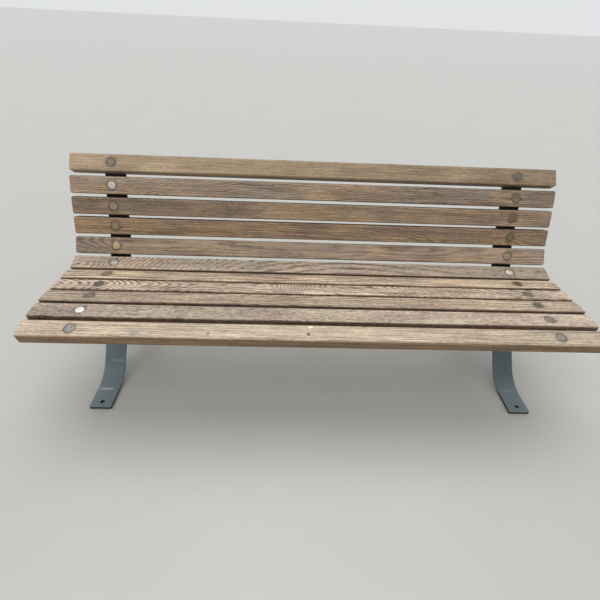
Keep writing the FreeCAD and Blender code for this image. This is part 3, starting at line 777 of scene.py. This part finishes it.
# Leg arches
# Each support stands on one more flat bar, bent to a front leg, a tight crown and a rear leg.
# Its ends turn out flat for feet, each drilled once for a floor anchor.

front_leg_slope = math.radians(50)
rear_leg_slope = math.radians(78)
foot_flat = 76 * MM
foot_bend_radius = 140 * MM
crown_radius = 50 * MM
anchor_hole_inset = 24 * MM


def leg_line():
    """The leg arch's bent line, at mid thickness."""
    foot_top = bar_thickness
    front_tip = Vector((0, foot_low.y, foot_top))
    rear_tip = Vector((0, foot_high.y, foot_top))
    front_bend = front_tip + along(0) * (foot_flat + foot_bend_radius * math.tan(front_leg_slope / 2))
    rear_bend = rear_tip - along(0) * (foot_flat + foot_bend_radius * math.tan(rear_leg_slope / 2))
    crown = crossing(front_bend, front_leg_slope, rear_bend, -rear_leg_slope)
    angles = [0, front_leg_slope, -rear_leg_slope, 0]
    radii = [foot_bend_radius, crown_radius, foot_bend_radius]
    return bent_line([front_tip, front_bend, crown, rear_bend, rear_tip], angles, radii, bar_thickness / 2)


hole_ys = (foot_low.y + anchor_hole_inset, foot_high.y - anchor_hole_inset)
bend_ends = [foot_low.y + foot_flat + reach for reach in (0.0,
                                                          foot_bend_radius * math.sin(front_leg_slope))]
# The press marks' painted highlights, with their middles, half widths and strengths: the two legs were not
# bent at quite the same places
press_glints = {
    "left": [(-8 * MM, bend_ends[0] + 8 * MM, 7 * MM, 1.0), (8 * MM, bend_ends[1], 4 * MM, 0.4)],
    "right": [(-11 * MM, bend_ends[0] + 24 * MM, 6 * MM, 0.3)],
}
# Painted light: the left leg's paint is lighter than the right's, though both are one paint, because the
# left leg is more lit.
leg_paints_with_light = {"left": "#67797F", "right": "#5D6E74"}
leg_enamels = {side: brushed_enamel(
    side + "_blue_grey_enamel", leg_paints_with_light[side], (0, 0, 0),
    [(x + mark[0], *mark[1:]) for mark in press_glints[side]],
    [(x, y) for y in hole_ys]) for side, x in side_places.items()}
for side, x in side_places.items():
    line = with_end_points(leg_line(), end_steps)
    legs = shaped("leg_arch_" + side + "_painted", bar_tree, {
        "Width": bar_width, "Thickness": bar_thickness, "Edge Radius": bar_edge_radius,
        "Corner Radius": bar_corner_radius, "Hole Radius": anchor_hole_radius,
        "Hole Inset": anchor_hole_inset,
        "Place": (x, 0.0, 0.0), "Material": leg_enamels[side]}, line_mesh("leg_line_" + side, line))
    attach(legs, "root")
    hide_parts("leg_arch_" + side)

# Crown welds
# A run of weld each side of the line where the crown meets the bar above it, laid by hand and painted over.
# The beads are rippled, about a bead's width to four ripples.

weld_bead_radius = 5.5 * MM
weld_ripple = 2.6 * MM
weld_end_gap = 3 * MM


def weld_shape_tree():
    """Two rippled beads along X, one each side of the line of contact."""
    tree, given = shape_tree("weld shape", {
        "Length": "Float", "Bead Radius": "Float", "Ripple": "Float", "Front": "Vector", "Rear": "Vector",
        "Seed": "Float", "Material": "Material"})
    half = add(tree, "ShaderNodeMath", {0: given["Length"], 1: 0.5}, operation="MULTIPLY")
    back = add(tree, "ShaderNodeMath", {0: half.outputs[0], 1: -1.0}, operation="MULTIPLY")
    start = add(tree, "ShaderNodeCombineXYZ", {"X": back.outputs[0]})
    end = add(tree, "ShaderNodeCombineXYZ", {"X": half.outputs[0]})
    run = add(tree, "GeometryNodeCurvePrimitiveLine", {"Start": start.outputs[0], "End": end.outputs[0]})
    fine = add(tree, "GeometryNodeResampleCurve", {"Curve": run.outputs[0], "Count": 160})
    spent = add(tree, "GeometryNodeSplineParameter").outputs["Length"]
    ripple = add(tree, "ShaderNodeMath", {0: spent, 1: given["Ripple"]}, operation="DIVIDE")
    phase = add(tree, "ShaderNodeMath", {0: ripple.outputs[0]}, operation="FRACT")
    swell = add(tree, "ShaderNodeMapRange", {"Value": phase.outputs[0], "To Min": 0.9, "To Max": 1.05})
    noise = add(tree, "ShaderNodeTexNoise", {"W": given["Seed"], "Scale": 90.0, "Detail": 2.0},
                noise_dimensions="4D")
    uneven = add(tree, "ShaderNodeMapRange",
                 {"Value": noise.outputs["Fac"], "To Min": 0.85, "To Max": 1.15})
    size = add(tree, "ShaderNodeMath", {0: swell.outputs[0], 1: uneven.outputs[0]}, operation="MULTIPLY")
    share = add(tree, "GeometryNodeSplineParameter").outputs["Factor"]
    other = add(tree, "ShaderNodeMath", {0: 1.0, 1: share}, operation="SUBTRACT")
    nearer = add(tree, "ShaderNodeMath", {0: share, 1: other.outputs[0]}, operation="MINIMUM")
    ends = add(tree, "ShaderNodeMapRange", {"Value": nearer.outputs[0], "From Max": 0.06, "To Min": 0.55})
    scale = add(tree, "ShaderNodeMath", {0: size.outputs[0], 1: ends.outputs[0]}, operation="MULTIPLY")
    outline = add(tree, "GeometryNodeCurvePrimitiveCircle",
                  {"Resolution": 16, "Radius": given["Bead Radius"]}, mode="RADIUS")
    bead = add(tree, "GeometryNodeCurveToMesh", {
        "Curve": fine.outputs[0], "Profile Curve": outline.outputs[0], "Scale": scale.outputs[0],
        "Fill Caps": True})
    both = add(tree, "GeometryNodeJoinGeometry")
    for spot in (given["Front"], given["Rear"]):
        put = add(tree, "GeometryNodeTransform", {"Geometry": bead.outputs[0], "Translation": spot})
        tree.links.new(put.outputs[0], both.inputs[0])
    close_tree(tree, both.outputs[0], given["Material"])
    return tree


weld_tree = weld_shape_tree()
for number, (side, x) in enumerate(side_places.items()):
    low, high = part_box("crown_weld_" + side)
    front = Vector((x, low.y + (high.y - low.y) * 0.2, low.z + (high.z - low.z) * 0.3))
    rear = Vector((x, low.y + (high.y - low.y) * 0.8, low.z + (high.z - low.z) * 0.72))
    weld = shaped("crown_weld_" + side + "_beads", weld_tree, {
        "Length": bar_width - 2 * weld_end_gap, "Bead Radius": weld_bead_radius, "Ripple": weld_ripple,
        "Front": front, "Rear": rear, "Seed": float(number), "Material": leg_enamels[side]})
    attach(weld, "root")
    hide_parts("crown_weld_" + side)

# Bolts, washers and nuts
# Each slat is held at each support by a wide-headed timber bolt with a square neck, a flat washer and a hex
# nut. The heads are pressed steel. Feet, hands and cleaning have left some bright and some dark.

head_radius = 16.5 * MM
head_flat_radius = 12.2 * MM
head_height = 2.6 * MM
head_flat_rise = 0.55 * MM
head_side_share = 0.25
head_flat_steps = 6
head_rim_steps = 8
rim_dirt_slope = 1.5
shank_radius = 5 * MM
neck_length = 6 * MM
thread_pitch = 1.5 * MM
thread_depth = 0.55 * MM
# One turn of thread, as shares of its pitch downwards and of its depth inwards
thread_turn = ((0, 0), (0.15, 0), (0.5, 1), (0.62, 1))
thread_gap = 0.02 * MM
thread_overhang = 4 * MM
shank_tip_share = 0.78
washer_radius = 10.5 * MM
washer_thickness = 2 * MM
washer_edge = 0.3 * MM
washer_bore = shank_radius + 0.5 * MM
nut_flat = 8 * MM
nut_face = nut_flat * 0.97
nut_height = 8.4 * MM
nut_bore = shank_radius + 0.1 * MM
nut_bore_chamfer = 0.5 * MM
nut_chamfer_slope = math.tan(math.radians(30))
nut_steps = 72
turn_steps = 48
head_bottom = -bolt_seat_depth
slat_thickness = slats["seat_slat_1"]["thickness"]
washer_top = -slat_thickness - bar_thickness
washer_low = washer_top - washer_thickness
nut_top = washer_low
nut_low = nut_top - nut_height
bolt_end = nut_low - thread_overhang


def turned(outline_at, steps, ring=False):
    """Mesh data of (radius, height) pairs given for each angle about Z, closed at poles or as a ring."""
    angles = [2 * math.pi * step / steps for step in range(steps)]
    vertices = []
    rows = []
    for pairs in zip(*map(outline_at, angles)):
        if pairs[0][0] == 0:
            rows.append([len(vertices)] * steps)
            vertices.append((0, 0, pairs[0][1]))
            continue
        rows.append(list(range(len(vertices), len(vertices) + steps)))
        for angle, (radius, height) in zip(angles, pairs):
            vertices.append((radius * math.cos(angle), radius * math.sin(angle), height))
    faces = []
    for low, high in zip(rows, rows[1:] + rows[:1] if ring else rows[1:]):
        for step in range(steps):
            after = (step + 1) % steps
            face = [low[step], low[after], high[after], high[step]]
            faces.append([corner for k, corner in enumerate(face) if corner not in face[:k]])
    return vertices, faces


def solid_object(name, *groups):
    """Object of one or more groups of vertices and faces, with its normals made to point out."""
    mesh = bpy.data.meshes.new(name)
    build = bmesh.new()
    for vertices, faces in groups:
        made = [build.verts.new(place) for place in vertices]
        for face in faces:
            build.faces.new([made[corner] for corner in face])
    bmesh.ops.recalc_face_normals(build, faces=build.faces)
    build.to_mesh(mesh)
    build.free()
    return new_object(name, mesh)


def head_outline():
    """Outline of the head, from the middle of its low dome down to the shank."""
    outline = [(0, head_bottom + head_height)]
    for step in range(1, head_flat_steps + 1):
        share = step / head_flat_steps
        outline.append((head_flat_radius * share, head_bottom + head_height - head_flat_rise * share ** 2))
    for step in range(1, head_rim_steps + 1):
        turn = math.pi / 2 * step / head_rim_steps
        height = (head_height - head_flat_rise) * (head_side_share + (1 - head_side_share) * math.cos(turn))
        radius = head_flat_radius + (head_radius - head_flat_radius) * math.sin(turn)
        outline.append((radius, head_bottom + height))
    return outline + [(head_radius, head_bottom), (shank_radius, head_bottom), (shank_radius, nut_top)]


def threaded_outline():
    """Outline of the thread, from under the bars down to a chamfered end."""
    outline = []
    height = nut_top - thread_gap
    while height > bolt_end + 1.5 * thread_pitch:
        outline += [(shank_radius - deep * thread_depth, height - down * thread_pitch)
                    for down, deep in thread_turn]
        height -= thread_pitch
    return outline + [(shank_radius, height), (shank_radius * shank_tip_share, bolt_end), (0, bolt_end)]


def nut_outline(angle):
    """Outline of a hex nut at one angle, whose corners are turned down at both faces."""
    reach = nut_flat / math.cos((angle % (math.pi / 3)) - math.pi / 6)
    drop = (reach - nut_face) * nut_chamfer_slope
    return [(nut_bore, nut_top - nut_bore_chamfer), (nut_bore + nut_bore_chamfer, nut_top),
            (nut_face, nut_top), (reach, nut_top - drop), (reach, nut_low + drop), (nut_face, nut_low),
            (nut_bore + nut_bore_chamfer, nut_low), (nut_bore, nut_low + nut_bore_chamfer)]


square = ((-1, -1), (1, -1), (1, 1), (-1, 1))
neck = [(x * shank_radius, y * shank_radius, z)
        for z in (head_bottom, head_bottom - neck_length) for x, y in square]
neck_faces = [(0, 1, 2, 3), (7, 6, 5, 4), (0, 4, 5, 1), (1, 5, 6, 2), (2, 6, 7, 3), (3, 7, 4, 0)]
bolt_outline = head_outline() + threaded_outline()
bolt_master = solid_object("bolt_master", turned(lambda angle: bolt_outline, turn_steps),
                           (neck, neck_faces))
rims = bolt_master.data.attributes.new("rim", "FLOAT", "POINT")
for vertex in bolt_master.data.vertices:
    beyond = (vertex.co.xy.length - head_flat_radius) / (head_radius - head_flat_radius)
    rims.data[vertex.index].value = max(0.0, min(1.0, rim_dirt_slope * beyond))
washer_outline = [
    (washer_bore, washer_top), (washer_radius - washer_edge, washer_top),
    (washer_radius, washer_top - washer_edge), (washer_radius, washer_low + washer_edge),
    (washer_radius - washer_edge, washer_low), (washer_bore, washer_low)]
washer_master = solid_object("washer_master", turned(lambda angle: washer_outline, turn_steps, ring=True))
nut_master = solid_object("nut_master", turned(nut_outline, nut_steps, ring=True))


def fastener_tree():
    """One copy of a fastener at each place, turned with its slat and given a small turn of its own."""
    tree, given = shape_tree("fasteners", {"Piece": "Object", "Material": "Material"})
    source = add(tree, "GeometryNodeObjectInfo", {"Object": given["Piece"]})
    points = add(tree, "GeometryNodeMeshToPoints", {"Mesh": given["Start"]})
    turn = add(tree, "GeometryNodeInputNamedAttribute", {"Name": "turn"}, data_type="FLOAT_VECTOR")
    copies = add(tree, "GeometryNodeInstanceOnPoints", {
        "Points": points.outputs[0], "Instance": source.outputs["Geometry"],
        "Rotation": turn.outputs["Attribute"]})
    close_tree(tree, copies.outputs[0], given["Material"])
    return tree


# Pressed and plated steel. "bright" says how far a head is worn to clean metal, and "warmth" how brown its
# tarnish is. Fine scratches run across the heads, and grime sits low on them.
scratch_length = 9 * MM
scratch_width = 0.35 * MM
scratch_depth = 0.05 * MM
tarnish_patch = 7 * MM
tarnish_spread = 0.14
rim_dirt_tone = "#6F5D48"


def plated_steel(name, dark, warm, clean, warm_clean):
    """Steel between a dark and a clean tone, each with its brown form, with dirt in the heads' rims."""
    material = bpy.data.materials.new(name)
    material.use_nodes = True
    tree = material.node_tree
    tree.nodes.clear()
    coords = add(tree, "ShaderNodeTexCoord").outputs["Object"]
    stretch = add(tree, "ShaderNodeVectorMath", {
        0: coords, 1: (1 / scratch_length, 1 / scratch_width, 1 / scratch_width)}, operation="MULTIPLY")
    scratches = add(tree, "ShaderNodeTexNoise", {"Vector": stretch.outputs[0], "Scale": 1.0, "Detail": 2.0})
    patches = add(tree, "ShaderNodeTexNoise", {"Vector": coords, "Scale": 1 / tarnish_patch, "Detail": 4.0})
    bright = add(tree, "ShaderNodeAttribute", attribute_name="bright").outputs["Fac"]
    warmth = add(tree, "ShaderNodeAttribute", attribute_name="warmth").outputs["Fac"]
    spread = add(tree, "ShaderNodeMapRange", {
        "Value": patches, "From Min": 0.3, "From Max": 0.7, "To Min": -tarnish_spread,
        "To Max": tarnish_spread})
    cleaned = add(tree, "ShaderNodeMath", {0: bright, 1: spread}, operation="ADD", use_clamp=True)
    tarnish = add(tree, "ShaderNodeMix", {0: warmth, 6: linear(dark), 7: linear(warm)}, data_type="RGBA")
    shine = add(tree, "ShaderNodeMix", {0: warmth, 6: linear(clean), 7: linear(warm_clean)},
                data_type="RGBA")
    rubbed = add(tree, "ShaderNodeMix", {0: cleaned, 6: tarnish, 7: shine}, data_type="RGBA")
    rim = add(tree, "ShaderNodeAttribute", attribute_name="rim").outputs["Fac"]
    kept = add(tree, "ShaderNodeMapRange",
               {"Value": patches, "From Min": 0.3, "From Max": 0.6, "To Min": 0.6})
    packed = add(tree, "ShaderNodeMath", {0: rim, 1: kept}, operation="MULTIPLY")
    colour = add(tree, "ShaderNodeMix", {0: packed, 6: rubbed, 7: linear(rim_dirt_tone)}, data_type="RGBA")
    dull = add(tree, "ShaderNodeMapRange", {"Value": cleaned, "To Min": 0.42, "To Max": 0.3})
    metal = add(tree, "ShaderNodeMapRange", {"Value": cleaned, "To Min": 0.15, "To Max": 0.85})
    bump = add(tree, "ShaderNodeBump", {"Height": scratches, "Strength": 0.12, "Distance": scratch_depth})
    surface = add(tree, "ShaderNodeBsdfPrincipled", {
        "Base Color": colour, "Metallic": metal, "Roughness": dull, "Normal": bump})
    add(tree, "ShaderNodeOutputMaterial", {0: surface})
    return material


head_steel = plated_steel("pressed_steel_heads", "#4A4F50", "#6E5F44", "#F4F1EA", "#DCC795")
nut_steel = plated_steel("zinc_plated_nuts", "#6F7678", "#77705F", "#C9CCCC", "#C9CCCC")

# How bright and how brown each head is, from the front slat of the seat to the top slat of the back
head_wear = {
    "left": [(0.28, 0.0), (1.1, 0.0), (0.1, 0.35), (0.02, 0.15), (0.24, 0.4), (0.42, 0.3),
             (0.62, 1.0), (0.24, 0.9), (0.3, 0.6), (0.66, 0.12), (0.1, 0.35)],
    "right": [(0.21, 0.0), (0.17, 0.1), (-0.12, 0.5), (0.05, 0.85), (-0.1, 0.6), (0.75, 0.3),
              (0.28, 0.6), (0.03, 0.95), (0.0, 1.0), (0.15, 0.75), (0.1, 0.15)],
}
# The washers' and nuts' wear is left to chance between these bounds, and so is the turn each ended at
chance_bright = (0.35, 0.7)
chance_warmth = (0, 0.5)
fasteners = fastener_tree()
chance = random.Random(7)
for side, x in side_places.items():
    for row in ("seat", "back"):
        chosen = [k for k, node in enumerate(slat_order) if node.startswith(row)]
        for kind, master, material, slot in (("bolts", bolt_master, head_steel, "bolt_steel"),
                                             ("washers", washer_master, nut_steel, "nut_steel"),
                                             ("nuts", nut_master, nut_steel, "nut_steel")):
            tops = [rests[k] + slats[slat_order[k]]["normal"] * slat_thickness for k in chosen]
            spots = bpy.data.meshes.new(row + "_" + kind + "_places")
            spots.from_pydata([(x, top.y, top.z) for top in tops], [], [])
            for label, form in (("turn", "FLOAT_VECTOR"), ("bright", "FLOAT"), ("warmth", "FLOAT")):
                spots.attributes.new(label, form, "POINT")
            for n, k in enumerate(chosen):
                own_turn = 0.0
                wear = head_wear[side][k]
                if kind != "bolts":
                    own_turn = chance.uniform(0, math.pi / 3)
                    wear = (chance.uniform(*chance_bright), chance.uniform(*chance_warmth))
                spin = Matrix.Rotation(tilts[k], 3, "X") @ Matrix.Rotation(own_turn, 3, "Z")
                spots.attributes["turn"].data[n].vector = spin.to_euler()
                spots.attributes["bright"].data[n].value = wear[0]
                spots.attributes["warmth"].data[n].value = wear[1]
            piece = shaped(row + "_" + kind + "_" + side + "_set", fasteners, {
                "Piece": master, "Material": material}, spots)
            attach(piece, "root")
            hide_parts(row + "_" + kind + "_" + side)
for master in (bolt_master, washer_master, nut_master):
    bpy.data.objects.remove(master)

# Floor and light
# A plain pale floor under soft light from above and a little behind, which draws the shadow forwards, and a
# narrower light from the front left.

floor_reach = 60.0


def pale_floor():
    """Smooth pale floor with a faint mottle."""
    material = bpy.data.materials.new("plain_pale_floor")
    material.use_nodes = True
    tree = material.node_tree
    tree.nodes.clear()
    coords = add(tree, "ShaderNodeTexCoord").outputs["Object"]
    mottle = add(tree, "ShaderNodeTexNoise", {"Vector": coords, "Scale": 2.5, "Detail": 3.0})
    colour = add(tree, "ShaderNodeMix", {0: mottle, 6: linear("#CFCEC8"), 7: linear("#C7C6C0")},
                 data_type="RGBA")
    surface = add(tree, "ShaderNodeBsdfPrincipled", {"Base Color": colour, "Roughness": 0.35, "IOR": 1.45})
    add(tree, "ShaderNodeOutputMaterial", {0: surface})
    return material


floor = solid_object("floor", ([(x * floor_reach, y * floor_reach, 0) for x, y in square], [(0, 1, 2, 3)]))
floor.data.materials.append(pale_floor())

world = bpy.data.worlds.new("soft surroundings")
scene.world = world
world.use_nodes = True
sky = world.node_tree
sky.nodes.clear()
ray = add(sky, "ShaderNodeLightPath")
seen = add(sky, "ShaderNodeMath", {0: ray.outputs["Is Camera Ray"], 1: ray.outputs["Is Glossy Ray"]},
           operation="MAXIMUM")
level = add(sky, "ShaderNodeMapRange", {"Value": seen, "To Min": 0.62, "To Max": 0.85})
backdrop = add(sky, "ShaderNodeBackground", {"Color": linear("#F2F4F6"), "Strength": level})
add(sky, "ShaderNodeOutputWorld", {0: backdrop})


def far_light(name, towards, spread, strength):
    """Even light from a far, round source this wide, which shines along a direction."""
    light = bpy.data.lights.new(name, "SUN")
    light.angle = math.radians(spread)
    light.energy = strength
    new_object(name, light).rotation_euler = Vector(towards).to_track_quat("-Z", "Y").to_euler()


far_light("soft ceiling", (0.0, -0.33, -1.0), 50, 1.06)
far_light("front left", (0.62, 0.5, -1.0), 22, 0.38)

# Camera
# The photograph's viewpoint: standing in front of the bench, a little left of its middle, looking down at
# it.

eye = Vector((-0.1133, -1.2713, 1.1695))
heading = math.radians(2.687)
pitch = math.radians(36.345)
roll = math.radians(-2.892)
image_width = 600
focal_pixels = 393.28
camera = new_object("camera", bpy.data.cameras.new("camera"))
camera.data.sensor_width = 36.0
camera.data.lens = camera.data.sensor_width * focal_pixels / image_width
aim = Matrix.Rotation(-heading, 4, "Z") @ Matrix.Rotation(math.pi / 2 - pitch, 4, "X")
camera.matrix_world = Matrix.Translation(eye) @ aim @ Matrix.Rotation(-roll, 4, "Z")
scene.camera = camera
scene.view_settings.view_transform = "Standard"
